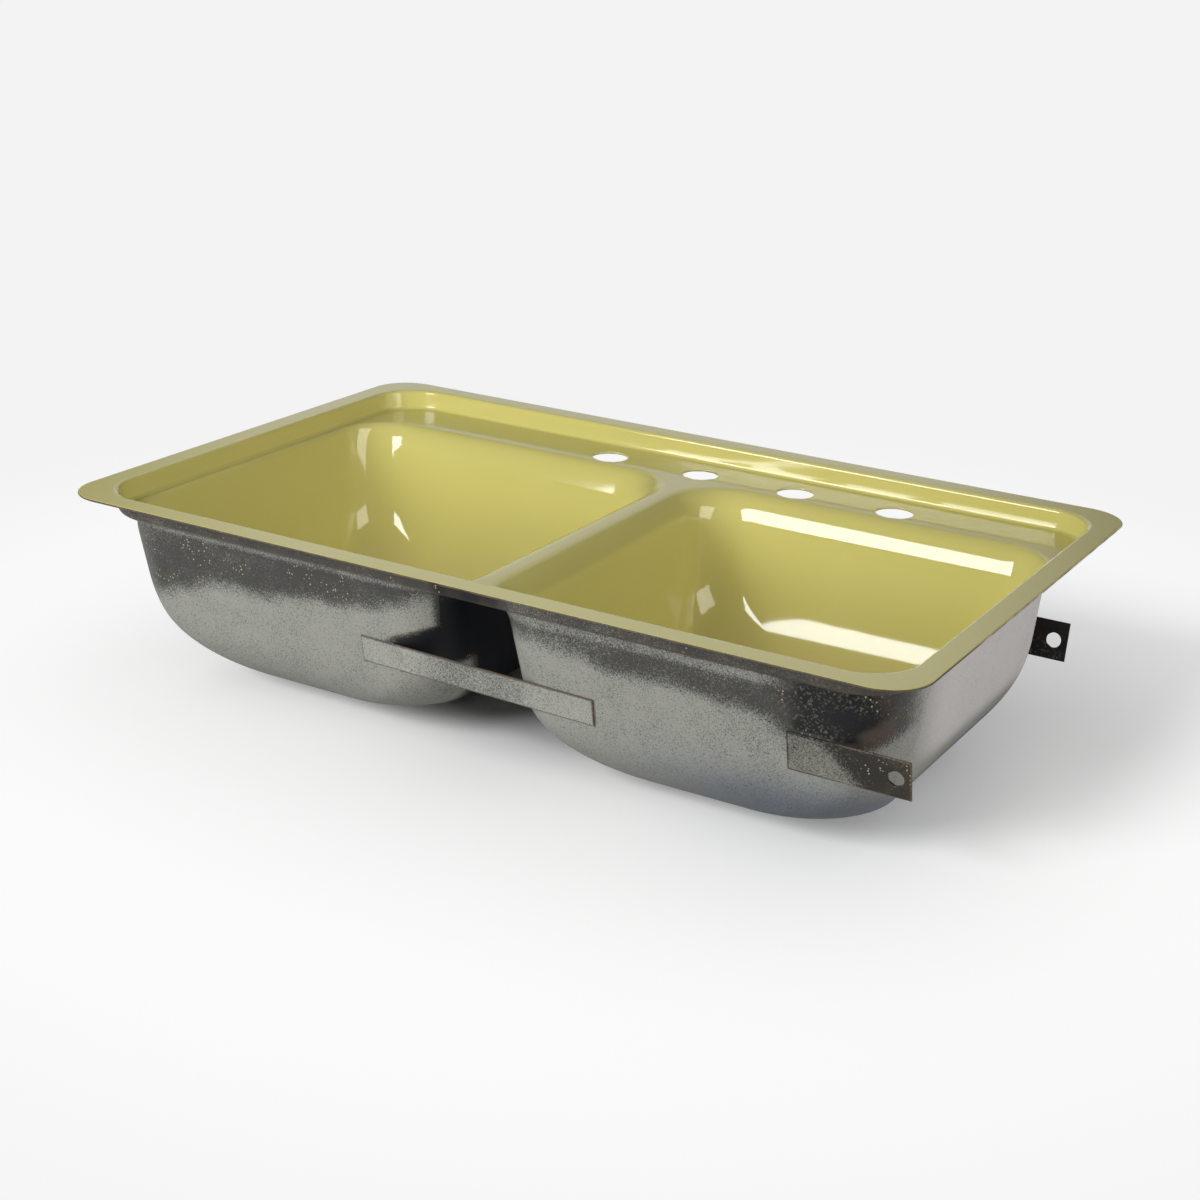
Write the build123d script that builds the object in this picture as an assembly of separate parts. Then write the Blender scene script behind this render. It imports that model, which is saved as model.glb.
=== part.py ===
from build123d import *
import math
import os

# Double bowl kitchen sink, pressed steel, millimetres.
# +X runs to the right along the front, +Y to the tap ledge, +Z up; the floor is z = 0.

# Sheet and overall size
SHEET = 2.2
RIM_LENGTH = 812.8
RIM_DEPTH = 508.0
RIM_CORNER_R = 38.1
HEIGHT = 186.4

# Step from the rim down to the deck
DECK_DROP = 19.05
STEP_INSET = 22.6
STEP_DRAFT = 6.0
STEP_CORNER_R = 46.0
ROLL_R = 3.4
COVE_R = 3.6

# Bowl openings in the deck, where the lips start
LIP_DEPTH = 24.0
LIP_END = 377.4
LIP_FRONT = -225.0
LIP_REAR = 172.9
LIP_DIVIDER = 2.0
LIP_RUN_END = 7.6
LIP_RUN_FRONT = 8.5
LIP_RUN_REAR = 21.0
LIP_RUN_DIVIDER = 25.9
LIP_CORNER_R = 58.0
BOWL_CORNER_R = 45.0
LIP_STEPS = 6

# Bowls below the lips, to the enamelled inside
BOWL_DEPTH = 175.0
BOWL_DRAFT_END = 7.8
BOWL_DRAFT_DIVIDER = 6.0
BOWL_DRAFT_FRONT = 12.5
BOWL_DRAFT_REAR = 10.5
BOWL_BOTTOM_R = 75.0
FLOOR_CORNER_R = 88.0
BOTTOM_STEPS = 12

# Drain outlets
DRAIN_R = 44.45
RECESS_R = 58.0
RECESS_SEAT_R = 53.0

# Tap holes along the ledge
TAP_R = 17.46
TAP_SPACING = 101.6
TAP_FIRST_X = -101.6
TAP_COUNT = 4
TAP_Y = 190.5

# Strap that ties the two bowls together in front
STRAP_LENGTH = 228.6
STRAP_WIDTH = 25.4
STRAP_THICK = 1.9
STRAP_BELOW_RIM = 96.5
STRAP_CENTRE_X = 6.0
STRAP_TILT = 1.2
SEAT_FILM = 0.1

# Lugs at the right end
LUG_LENGTH = 101.6
LUG_WIDTH = 34.5
LUG_THICK = 1.9
FRONT_LUG_BELOW_RIM = 85.0
REAR_LUG_BELOW_RIM = 91.0
FRONT_LUG_END_X = 394.0
REAR_LUG_END_X = 391.5
LUG_HOLE_R = 6.75
LUG_HOLE_FROM_END = 12.5

# Length of the punches that cut the round holes
PUNCH_LENGTH = 20.0

DECK_Z = HEIGHT - DECK_DROP
LIP_Z = DECK_Z - LIP_DEPTH


def tan(angle):
    return math.tan(math.radians(angle))


def outline(x0, x1, y0, y1, r, z):
    """Rounded rectangle between two x and two y limits at height z."""
    return Pos((x0 + x1) / 2, (y0 + y1) / 2, z) * RectangleRounded(x1 - x0, y1 - y0, r)


def rim_outline(inset, r, z):
    """Rounded rectangle a set distance in from the rim's edge."""
    return Pos(0, 0, z) * RectangleRounded(RIM_LENGTH - 2 * inset, RIM_DEPTH - 2 * inset, r)


def level_edges(solid, z, inside):
    """Edges that lie flat at height z, no nearer the rim's edge than the given inset."""
    found = []
    for e in solid.edges():
        b = e.bounding_box()
        flat = abs(b.min.Z - z) < 0.01 and abs(b.max.Z - z) < 0.01
        reach = max(abs(b.min.X), abs(b.max.X)) - RIM_LENGTH / 2
        reach = max(reach, max(abs(b.min.Y), abs(b.max.Y)) - RIM_DEPTH / 2)
        if flat and reach < -inside:
            found.append(e)
    return found


def tray(skin):
    """Volume inside the step: skin 0 is the air above the deck, SHEET the outside of the metal."""
    z = DECK_Z - skin
    drop = HEIGHT - z
    grow = skin / math.cos(math.radians(STEP_DRAFT))
    top = rim_outline(STEP_INSET - grow, STEP_CORNER_R + grow, HEIGHT)
    low = rim_outline(STEP_INSET - grow + drop * tan(STEP_DRAFT), STEP_CORNER_R + grow, z)
    body = loft([low, top], ruled=True)
    return fillet(level_edges(body, z, 1), COVE_R + skin)


def lip(skin):
    """Right bowl's lip as quarter ellipses falling from the deck into the bowl.

    skin 0 is the air inside the lip, SHEET the outside of the metal.
    """
    sections = []
    for k in range(LIP_STEPS + 1):
        a = math.radians(90 - 90 * k / LIP_STEPS)
        end = (LIP_RUN_END - skin) * math.sin(a)
        front = (LIP_RUN_FRONT - skin) * math.sin(a)
        rear = (LIP_RUN_REAR - skin) * math.sin(a)
        divider = (LIP_RUN_DIVIDER - skin) * math.sin(a)
        z = LIP_Z + (LIP_DEPTH - skin / 2) * math.cos(a)
        r = LIP_CORNER_R + (BOWL_CORNER_R + skin - LIP_CORNER_R) * math.sin(a)
        sections.append(outline(LIP_DIVIDER + divider, LIP_END - end, LIP_FRONT + front, LIP_REAR - rear, r, z))
    return loft(sections)


def draw_in(draft, skin, z):
    """How far a wall stands in from its lip at height z: a straight draft, then the bottom arc."""
    r = BOWL_BOTTOM_R + skin
    centre = HEIGHT - BOWL_DEPTH - skin + r
    d = math.radians(draft)
    start = centre - r * math.sin(d)
    if z >= start:
        return (LIP_Z - z) * math.tan(d)
    a = math.asin(min(1.0, (centre - z) / r))
    return (LIP_Z - start) * math.tan(d) + r * (math.cos(d) - math.cos(a))


def bowl_outline(skin, z):
    """Right bowl's wall at height z: skin 0 is the inside, SHEET the outside."""
    x0 = LIP_DIVIDER + LIP_RUN_DIVIDER - skin + draw_in(BOWL_DRAFT_DIVIDER, skin, z)
    x1 = LIP_END - LIP_RUN_END + skin - draw_in(BOWL_DRAFT_END, skin, z)
    y0 = LIP_FRONT + LIP_RUN_FRONT - skin + draw_in(BOWL_DRAFT_FRONT, skin, z)
    y1 = LIP_REAR - LIP_RUN_REAR + skin - draw_in(BOWL_DRAFT_REAR, skin, z)
    away = 1 - draw_in(0, skin, z) / (BOWL_BOTTOM_R + skin)
    r = FLOOR_CORNER_R - (FLOOR_CORNER_R - BOWL_CORNER_R - skin) * away ** 2
    return outline(x0, x1, y0, y1, r, z)


def bowl_volume(skin):
    """Right bowl below the lip: skin 0 is the air inside, SHEET the outside of the metal."""
    r = BOWL_BOTTOM_R + skin
    centre = HEIGHT - BOWL_DEPTH - skin + r
    wall = loft([bowl_outline(skin, centre), bowl_outline(skin, LIP_Z)], ruled=True)
    sections = []
    for k in range(BOTTOM_STEPS + 1):
        a = math.pi / 2 * (1 - k / BOTTOM_STEPS)
        sections.append(bowl_outline(skin, centre - r * math.sin(a)))
    return wall + loft(sections)


def front_wall_y(z):
    return LIP_FRONT + LIP_RUN_FRONT - SHEET + (LIP_Z - z) * tan(BOWL_DRAFT_FRONT)


def rear_wall_y(z):
    return LIP_REAR - LIP_RUN_REAR + SHEET - (LIP_Z - z) * tan(BOWL_DRAFT_REAR)


# Deck pressing: flat rim, step, tap ledge and the lips of both bowls
deck = extrude(rim_outline(0, RIM_CORNER_R, HEIGHT - SHEET), SHEET) + tray(SHEET)
deck = fillet(level_edges(deck, HEIGHT - SHEET, 1), ROLL_R - SHEET)
deck = deck - tray(0)
deck = fillet(level_edges(deck, HEIGHT, 1), ROLL_R)
lip_skin = lip(SHEET)
lip_air = lip(0)
deck = deck + lip_skin + mirror(lip_skin, about=Plane.YZ)
deck = deck - lip_air - mirror(lip_air, about=Plane.YZ)
for i in range(TAP_COUNT):
    deck = deck - Pos(TAP_FIRST_X + i * TAP_SPACING, TAP_Y, DECK_Z) * Cylinder(TAP_R, PUNCH_LENGTH)

# Bowls: drawn pans with a drain recess, butted under the lips
floor_z = HEIGHT - BOWL_DEPTH
floor_face = bowl_outline(0, floor_z)
drain_x = floor_face.center().X
drain_y = floor_face.center().Y
recess_out = Pos(drain_x, drain_y, floor_z / 2) * Cone(RECESS_SEAT_R + SHEET, RECESS_R + SHEET, floor_z)
recess_air = Pos(drain_x, drain_y, (floor_z + SHEET) / 2) * Cone(RECESS_SEAT_R, RECESS_R, floor_z - SHEET)
right_bowl = bowl_volume(SHEET) + recess_out - bowl_volume(0) - recess_air
right_bowl = right_bowl - Pos(drain_x, drain_y, 0) * Cylinder(DRAIN_R, PUNCH_LENGTH)
left_bowl = mirror(right_bowl, about=Plane.YZ)

# Strap across the front walls
strap_z = HEIGHT - STRAP_BELOW_RIM
strap = Pos(0, -STRAP_THICK / 2 - SEAT_FILM, 0) * Box(STRAP_LENGTH, STRAP_THICK, STRAP_WIDTH)
strap = Rot(Y=STRAP_TILT) * strap
front_strap = Pos(STRAP_CENTRE_X, front_wall_y(strap_z), strap_z) * Rot(X=BOWL_DRAFT_FRONT) * strap

# Lugs welded to the right bowl, one in front and one behind
lug = Box(LUG_LENGTH, LUG_THICK, LUG_WIDTH)
lug = lug - Pos(LUG_LENGTH / 2 - LUG_HOLE_FROM_END, 0, 0) * Rot(X=90) * Cylinder(LUG_HOLE_R, PUNCH_LENGTH)
lug_x = FRONT_LUG_END_X - LUG_LENGTH / 2
lug_z = HEIGHT - FRONT_LUG_BELOW_RIM
seat = LUG_THICK / 2 + SEAT_FILM
front_lug = Pos(lug_x, front_wall_y(lug_z), lug_z) * Rot(X=BOWL_DRAFT_FRONT) * Pos(0, -seat, 0) * lug
lug_x = REAR_LUG_END_X - LUG_LENGTH / 2
lug_z = HEIGHT - REAR_LUG_BELOW_RIM
rear_lug = Pos(lug_x, rear_wall_y(lug_z), lug_z) * Rot(X=-BOWL_DRAFT_REAR) * Pos(0, seat, 0) * lug

# One file for each piece
os.makedirs("parts", exist_ok=True)
export_step(deck, "parts/deck.step")
export_step(left_bowl, "parts/left_bowl.step")
export_step(right_bowl, "parts/right_bowl.step")
export_step(front_strap, "parts/front_strap.step")
export_step(front_lug, "parts/front_lug.step")
export_step(rear_lug, "parts/rear_lug.step")
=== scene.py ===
import math
import bmesh
import bpy
import numpy as np
from mathutils import Matrix
from mathutils.geometry import delaunay_2d_cdt


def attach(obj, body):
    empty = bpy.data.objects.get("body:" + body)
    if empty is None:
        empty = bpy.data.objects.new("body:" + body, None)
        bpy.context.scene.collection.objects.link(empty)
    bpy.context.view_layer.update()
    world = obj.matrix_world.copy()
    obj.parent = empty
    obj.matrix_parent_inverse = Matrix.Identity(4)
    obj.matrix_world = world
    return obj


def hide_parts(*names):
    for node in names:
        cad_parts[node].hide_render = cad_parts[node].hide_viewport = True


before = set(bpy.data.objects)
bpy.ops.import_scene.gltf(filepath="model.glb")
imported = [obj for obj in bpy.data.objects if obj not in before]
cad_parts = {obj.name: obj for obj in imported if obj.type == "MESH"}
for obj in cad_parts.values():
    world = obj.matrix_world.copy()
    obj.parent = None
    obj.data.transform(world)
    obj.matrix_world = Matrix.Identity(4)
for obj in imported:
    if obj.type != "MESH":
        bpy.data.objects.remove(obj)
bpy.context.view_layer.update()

# Bowls. Two deep-drawn steel pans, welded under the lips of the deck and fired with it:
# gloss yellow-green porcelain enamel inside, a dark ground coat outside that was sprayed
# over with pale grey from the front, below and the right-hand end.
MM = 0.001
SHEET = 2.2
RIM_Z = 186.4
DECK_DROP = 19.05
DECK_Z = RIM_Z - DECK_DROP
LIP_X0, LIP_X1, LIP_Y0, LIP_Y1 = 2.0, 377.4, -225.0, 172.9
LIP_CORNER_R, BOWL_CORNER_R = 58.0, 45.0
FLOOR_CORNER_IN, FLOOR_CORNER_OUT = 86.0, 88.0
SEAM_DEPTH = 24.0
BOWL_DEPTH = 175.0
FLOOR_DEPTH = BOWL_DEPTH - DECK_DROP
FLOOR_Z = DECK_Z - FLOOR_DEPTH
RISE_IN, RISE_OUT = 90.0, 75.0

# each wall's lip, how far it runs in and how deep it turns; then, inside and outside, the wall's
# draft in degrees and how far in and how high up its bottom curve goes
DIVIDER_WALL = (26.0, 26.0, (6.0, 76.5, RISE_IN), (6.0, 75.0, RISE_OUT))
END_WALL = (5.0, 5.0, (7.8, 76.5, RISE_IN), (2.5, 84.0, 100.0))
FRONT_WALL = (4.0, 4.0, (12.5, 76.5, RISE_IN), (12.5, 75.0, RISE_OUT))
REAR_WALL = (22.3, 36.0, (10.5, 76.5, RISE_IN), (10.5, 75.0, RISE_OUT))

# drain recess as radius, height and share of the circle: from the floor in and down to the hole,
# then from the hole back out underneath
DRAIN_X, DRAIN_Y, DRAIN_R = 197.8, -30.99, 44.45
DISH = ((76.0, FLOOR_Z, 0.35), (76.0, FLOOR_Z, 0.75), (68.0, FLOOR_Z, 1), (63.0, FLOOR_Z - 0.3, 1),
        (60.0, FLOOR_Z - 1.4, 1), (57.5, FLOOR_Z - 3.4, 1), (55.5, FLOOR_Z - 6.0, 1),
        (53.6, FLOOR_Z - 8.0, 1), (51.5, FLOOR_Z - 9.0, 1), (49.0, SHEET, 1), (45.2, SHEET, 1),
        (DRAIN_R, SHEET - 0.6, 1))
UNDER_DISH = ((DRAIN_R, 0.4, 1), (45.0, 0, 1), (52.0, 0, 1), (54.6, 0.8, 1), (56.6, 3.0, 1), (58.8, 6.0, 1),
              (61.5, 8.2, 1), (65.0, FLOOR_Z - SHEET, 1), (70.0, FLOOR_Z - SHEET, 1),
              (76.0, FLOOR_Z - SHEET, 0.5))

BOWL_ARC, BOWL_SIDE = 22, 88
WALL_ROWS_IN, WALL_ROWS_OUT, BOTTOM_ROWS = 8, 28, 48
MERGE_WITHIN = 1e-6
SHARP_OVER = math.radians(35)


def rounded_ring(x0, x1, y0, y1, r, arc, side):
    """Rows of rounded rectangles: four quarter arcs joined by evenly divided straight sides."""
    x0, x1, y0, y1, r = [np.asarray(v, float).reshape(-1, 1) for v in (x0, x1, y0, y1, r)]
    turn = np.linspace(0, np.pi / 2, arc + 1)
    centres = ((x1 - r, y1 - r), (x0 + r, y1 - r), (x0 + r, y0 + r), (x1 - r, y0 + r))
    arcs = [np.stack((cx + r * np.cos(turn + k * np.pi / 2), cy + r * np.sin(turn + k * np.pi / 2)), -1)
            for k, (cx, cy) in enumerate(centres)]
    share = np.linspace(0, 1, side + 1)[1:-1].reshape(1, -1, 1)
    sides = [arcs[k][:, -1:] * (1 - share) + arcs[(k + 1) % 4][:, :1] * share for k in range(4)]
    return np.concatenate([part for pair in zip(arcs, sides) for part in pair], 1)


def at_heights(xy, z):
    """Rows of plan points, each row lifted to its own height."""
    z = np.broadcast_to(np.reshape(z, (-1, 1, 1)), xy.shape[:2] + (1,))
    return np.concatenate((xy, z), 2)


def wall_inset(h, run, depth, within, without, skin):
    """Distance in from the lip's start at depth h: a quarter ellipse, a straight draft, a second quarter ellipse.

    The straight starts where the lip's ellipse leans as much as the draft and ends where the bottom's does.
    """
    draft, across, rise = without if skin else within
    across, rise = across + skin, rise + skin
    lean = np.tan(np.radians(draft))
    run, fall = run - skin, depth - skin
    u = lean / np.hypot(run / fall, lean)
    lip_end, lip_in = depth - fall * u, run * np.sqrt(1 - u ** 2)
    lip = run * np.sqrt(np.maximum(1 - ((depth - h) / fall) ** 2, 0))
    centre = FLOOR_DEPTH + skin - rise
    start = np.arctan(lean * rise / across)
    bottom_start = centre + rise * np.sin(start)
    straight = lip_in + (h - lip_end) * lean
    turn = np.arcsin(np.clip((h - centre) / rise, 0, 1))
    bottom = lip_in + (bottom_start - lip_end) * lean + across * (np.cos(start) - np.cos(turn))
    return np.where(h < lip_end, lip, np.where(h < bottom_start, straight, bottom))


def bowl_rings(h, skin):
    """Right bowl's rings at depths h below the deck: four wall insets and one corner radius each.

    The radius follows the lip's curve down to the seam, then grows with the square of the way down the bottom.
    """
    walls = (DIVIDER_WALL, END_WALL, FRONT_WALL, REAR_WALL)
    divider, end, front, rear = [wall_inset(h, *wall, skin) for wall in walls]
    q = np.clip((h - skin) / (SEAM_DEPTH - skin), 0, 1)
    lip_r = LIP_CORNER_R + (BOWL_CORNER_R + skin - LIP_CORNER_R) * np.sqrt(1 - (1 - q) ** 2)
    rise, floor_r = (RISE_OUT + skin, FLOOR_CORNER_OUT) if skin else (RISE_IN, FLOOR_CORNER_IN)
    s = np.clip((h - FLOOR_DEPTH - skin + rise) / rise, 0, 1)
    low_r = floor_r - (floor_r - BOWL_CORNER_R - skin) * (1 - s ** 2)
    xy = rounded_ring(LIP_X0 + divider, LIP_X1 - end, LIP_Y0 + front, LIP_Y1 - rear,
                      np.where(h < SEAM_DEPTH, lip_r, low_r), BOWL_ARC, BOWL_SIDE)
    return at_heights(xy, DECK_Z - h)


def drain_rings(floor_ring, profile):
    """Rings from a floor outline in to circles about the drain, each a blend of the two by its share."""
    flat = floor_ring[:, :2] - (DRAIN_X, DRAIN_Y)
    unit = flat / np.linalg.norm(flat, axis=1, keepdims=True)
    radius, height, share = [np.array(v).reshape(-1, 1, 1) for v in zip(*profile)]
    xy = flat * (1 - share) + unit * radius * share + (DRAIN_X, DRAIN_Y)
    return at_heights(xy, height)


def ring_faces(rows, around, close_rows):
    """Quads of a grid that closes on itself round each ring, and from last row to first if asked."""
    i = np.arange(rows if close_rows else rows - 1).reshape(-1, 1)
    j = np.arange(around).reshape(1, -1)
    i2, j2 = (i + 1) % rows, (j + 1) % around
    return np.stack((i * around + j, i * around + j2, i2 * around + j2, i2 * around + j), -1).reshape(-1, 4)


def add_piece(name, points, faces, slots, materials, coat):
    """Mesh in metres from points in millimetres, riding on the body.

    Doubles merge, faces wind outwards, and edges over the sharp angle stay sharp.
    """
    mesh = bpy.data.meshes.new(name)
    mesh.from_pydata((points * MM).tolist(), [], faces)
    for material in materials:
        mesh.materials.append(material)
    mesh.polygons.foreach_set("material_index", np.asarray(slots, np.int32))
    layer = mesh.attributes.new("coat", "FLOAT_VECTOR", "POINT")
    layer.data.foreach_set("vector", np.asarray(coat, np.float32).ravel())
    bm = bmesh.new()
    bm.from_mesh(mesh)
    bmesh.ops.remove_doubles(bm, verts=bm.verts, dist=MERGE_WITHIN)
    bmesh.ops.recalc_face_normals(bm, faces=bm.faces)
    bm.to_mesh(mesh)
    bm.free()
    mesh.polygons.foreach_set("use_smooth", np.ones(len(mesh.polygons), bool))
    mesh.set_sharp_from_angle(angle=SHARP_OVER)
    piece = bpy.data.objects.new(name, mesh)
    bpy.context.scene.collection.objects.link(piece)
    even = piece.modifiers.new("flat faces stay flat", "WEIGHTED_NORMAL")
    even.keep_sharp = True
    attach(piece, "root")
    return piece


def link(tree, a, b):
    """Join an output to an input."""
    tree.links.new(a, b)


def math_node(tree, operation, a, b, c=0.0):
    """One sum on values or sockets."""
    node = tree.nodes.new("ShaderNodeMath")
    node.operation = operation
    for socket, value in zip(node.inputs, (a, b, c)):
        if isinstance(value, (int, float)):
            socket.default_value = value
        else:
            link(tree, value, socket)
    return node.outputs[0]


def ramp(tree, value, from0, from1, to0=0.0, to1=1.0, shape="SMOOTHSTEP"):
    """Step of a socket from one range to another, smooth or straight."""
    node = tree.nodes.new("ShaderNodeMapRange")
    node.interpolation_type = shape
    for socket, v in zip(("From Min", "From Max", "To Min", "To Max"), (from0, from1, to0, to1)):
        node.inputs[socket].default_value = v
    link(tree, value, node.inputs["Value"])
    return node.outputs["Result"]


def blend(tree, share, a, b):
    """Colour a turning into b; each is a socket or a written colour."""
    node = tree.nodes.new("ShaderNodeMix")
    node.data_type = "RGBA"
    link(tree, share, node.inputs["Factor"])
    for socket, colour in ((node.inputs["A"], a), (node.inputs["B"], b)):
        if isinstance(colour, tuple):
            socket.default_value = (*colour, 1)
        else:
            link(tree, colour, socket)
    return node.outputs["Result"]


def noise(tree, place, scale, detail):
    """Noise of a given number of cells to the metre."""
    node = tree.nodes.new("ShaderNodeTexNoise")
    node.inputs["Scale"].default_value = scale
    node.inputs["Detail"].default_value = detail
    link(tree, place, node.inputs["Vector"])
    return node.outputs["Fac"]


def bump(tree, shader, height, strength, distance):
    """Unevenness of a surface by a height, up to a distance in metres."""
    node = tree.nodes.new("ShaderNodeBump")
    node.inputs["Strength"].default_value = strength
    node.inputs["Distance"].default_value = distance
    link(tree, height, node.inputs["Height"])
    link(tree, node.outputs["Normal"], shader.inputs["Normal"])


# grains, clouds, dust and dots of the sprayed coat in cells to the metre, and its colours, with a darker blue and
# a black that paint shade
FINE_GRAIN, COARSE_GRAIN, CLOUD, BLOT = 1250.0, 620.0, 55.0, 12.0
DUST_GRAIN, DUST_CLOUD, DOT, DOT_CLUMP = 420.0, 24.0, 330.0, 30.0
SHADE_BLUE, WARM_SPRAY = (0.118, 0.133, 0.152), (0.560, 0.535, 0.510)
BLACK_BARE_AND_SHADE, DUST_BROWN = (0.0035, 0.0038, 0.0050), (0.085, 0.078, 0.058)
DOT_GOLD, RUST_BROWN = (0.40, 0.34, 0.21), (0.105, 0.062, 0.030)


def speckle_group():
    """Pale grains over a dark coat: a fine noise passes where it exceeds a threshold that falls as Spray rises.

    The shade input turns the grains a darker blue above 0, as painted shade, and warm white below it, a Spray
    under 0 leaves the coat black, which also paints the gap's shade, Stain lays rust brown over both, and brown
    dust and sparse gold dots show where the spray is thin.
    """
    g = bpy.data.node_groups.new("sprayed speckle and painted shade", "ShaderNodeTree")
    for n, kind in (("Spray", "NodeSocketFloat"), ("Stain", "NodeSocketFloat"), ("Low Shade And White", "NodeSocketFloat"),
                    ("Feather", "NodeSocketFloat"), ("Dark", "NodeSocketColor"), ("Pale", "NodeSocketColor")):
        g.interface.new_socket(name=n, in_out="INPUT", socket_type=kind)
    for n, kind in (("Color", "NodeSocketColor"), ("Grain", "NodeSocketFloat"), ("Cover", "NodeSocketFloat")):
        g.interface.new_socket(name=n, in_out="OUTPUT", socket_type=kind)
    given, out = g.nodes.new("NodeGroupInput").outputs, g.nodes.new("NodeGroupOutput").inputs
    spray, shade_and_white = given["Spray"], given["Low Shade And White"]
    place = g.nodes.new("ShaderNodeTexCoord").outputs["Object"]

    cloud, blot = noise(g, place, CLOUD, 4.0), noise(g, place, BLOT, 2.0)
    fine, coarse = noise(g, place, FINE_GRAIN, 1.0), noise(g, place, COARSE_GRAIN, 1.0)
    grain = math_node(g, "MULTIPLY_ADD", math_node(g, "MULTIPLY_ADD", coarse, 0.7, fine), 0.66, -0.06)
    drift = math_node(g, "SUBTRACT", math_node(g, "ADD", cloud, blot), 1.0)
    cover = math_node(g, "MULTIPLY_ADD", drift, given["Feather"], spray)
    level = math_node(g, "MULTIPLY_ADD", cover, 0.42, -0.73)
    passed = ramp(g, math_node(g, "ADD", grain, level), -0.15, 0.24)

    pale = blend(g, ramp(g, shade_and_white, 0.0, 1.0), given["Pale"], SHADE_BLUE)
    pale = blend(g, ramp(g, shade_and_white, 0.0, -1.0), pale, WARM_SPRAY)
    coat = blend(g, ramp(g, spray, 0.0, -0.4), given["Dark"], BLACK_BARE_AND_SHADE)
    open_face = ramp(g, spray, -0.75, -0.5)
    dust = math_node(g, "MULTIPLY", ramp(g, noise(g, place, DUST_GRAIN, 2.0), 0.50, 0.72),
                     ramp(g, noise(g, place, DUST_CLOUD, 3.0), 0.42, 0.62))
    coat = blend(g, math_node(g, "MULTIPLY", dust, open_face), coat, DUST_BROWN)
    colour = blend(g, passed, coat, pale)

    cells = g.nodes.new("ShaderNodeTexVoronoi")
    cells.inputs["Scale"].default_value = DOT
    link(g, place, cells.inputs["Vector"])
    lot = g.nodes.new("ShaderNodeSeparateColor")
    link(g, cells.outputs["Color"], lot.inputs["Color"])
    chosen = math_node(g, "GREATER_THAN", lot.outputs["Red"], 0.52)
    clump = ramp(g, noise(g, place, DOT_CLUMP, 1.0), 0.54, 0.62)
    dots = math_node(g, "MULTIPLY", chosen, clump)
    dots = math_node(g, "MULTIPLY", dots, ramp(g, cells.outputs["Distance"], 0.30, 0.14))
    dots = math_node(g, "MULTIPLY", dots, open_face)
    colour = blend(g, math_node(g, "MULTIPLY", dots, ramp(g, spray, 0.5, 0.2)), colour, DOT_GOLD)
    rust = math_node(g, "MULTIPLY", given["Stain"], ramp(g, cloud, 0.35, 0.62))
    colour = blend(g, rust, colour, RUST_BROWN)
    link(g, colour, out["Color"])
    link(g, grain, out["Grain"])
    link(g, passed, out["Cover"])
    return g


SPECKLE = speckle_group()
ROUGH_BARE, ROUGH_SPRAYED = 0.52, 0.70
SATIN_SHINE = 0.22
GRAIN_BUMP, GRAIN_HEIGHT = 0.25, 0.0004


def new_material(name):
    """Material with its node tree and its one shader."""
    material = bpy.data.materials.new(name)
    material.use_nodes = True
    return material, material.node_tree, material.node_tree.nodes["Principled BSDF"]


def ground_coat(name, dark, pale, feather):
    """Satin ground coat: the piece's coat attribute holds how much spray and rust stain each place has, and its
    painted shade in blue, turning to white below 0.
    """
    material, t, shader = new_material(name)
    layer = t.nodes.new("ShaderNodeAttribute")
    layer.attribute_name = "coat"
    parts = t.nodes.new("ShaderNodeSeparateXYZ")
    link(t, layer.outputs["Vector"], parts.inputs[0])
    coat = t.nodes.new("ShaderNodeGroup")
    coat.node_tree = SPECKLE
    coat.inputs["Feather"].default_value = feather
    coat.inputs["Dark"].default_value = (*dark, 1)
    coat.inputs["Pale"].default_value = (*pale, 1)
    for axis, amount in (("X", "Spray"), ("Y", "Stain"), ("Z", "Low Shade And White")):
        link(t, parts.outputs[axis], coat.inputs[amount])
    link(t, coat.outputs["Color"], shader.inputs["Base Color"])
    satin = ramp(t, coat.outputs["Cover"], 0.0, 1.0, ROUGH_BARE, ROUGH_SPRAYED, "LINEAR")
    link(t, satin, shader.inputs["Roughness"])
    shader.inputs["Specular IOR Level"].default_value = SATIN_SHINE
    bump(t, shader, coat.outputs["Grain"], GRAIN_BUMP, GRAIN_HEIGHT)
    return material


# the glaze's colours, the last a painted glow of light bounced round the bowls' floors, and its clouds, ripples
# and pinholes in cells to the metre
GLAZE_THICK, GLAZE_THIN, GLAZE_FLOOR_GLOW = (0.520, 0.464, 0.140), (0.550, 0.490, 0.155), (0.640, 0.530, 0.190)
GLAZE_CLOUD, GLAZE_RIPPLE, GLAZE_PIN = 5.0, 60.0, 420.0
# heights in metres where the painted floor light starts and is full, and its share
FLOOR_GLOW_FROM, FLOOR_GLOW_FULL, FLOOR_GLOW_SHARE = 0.060, 0.016, 0.8
GLAZE_SMOOTH, GLAZE_PITTED = 0.06, 0.11
GLAZE_IOR = 1.52
RIPPLE_BUMP, RIPPLE_HEIGHT = 0.06, 0.0006


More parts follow.
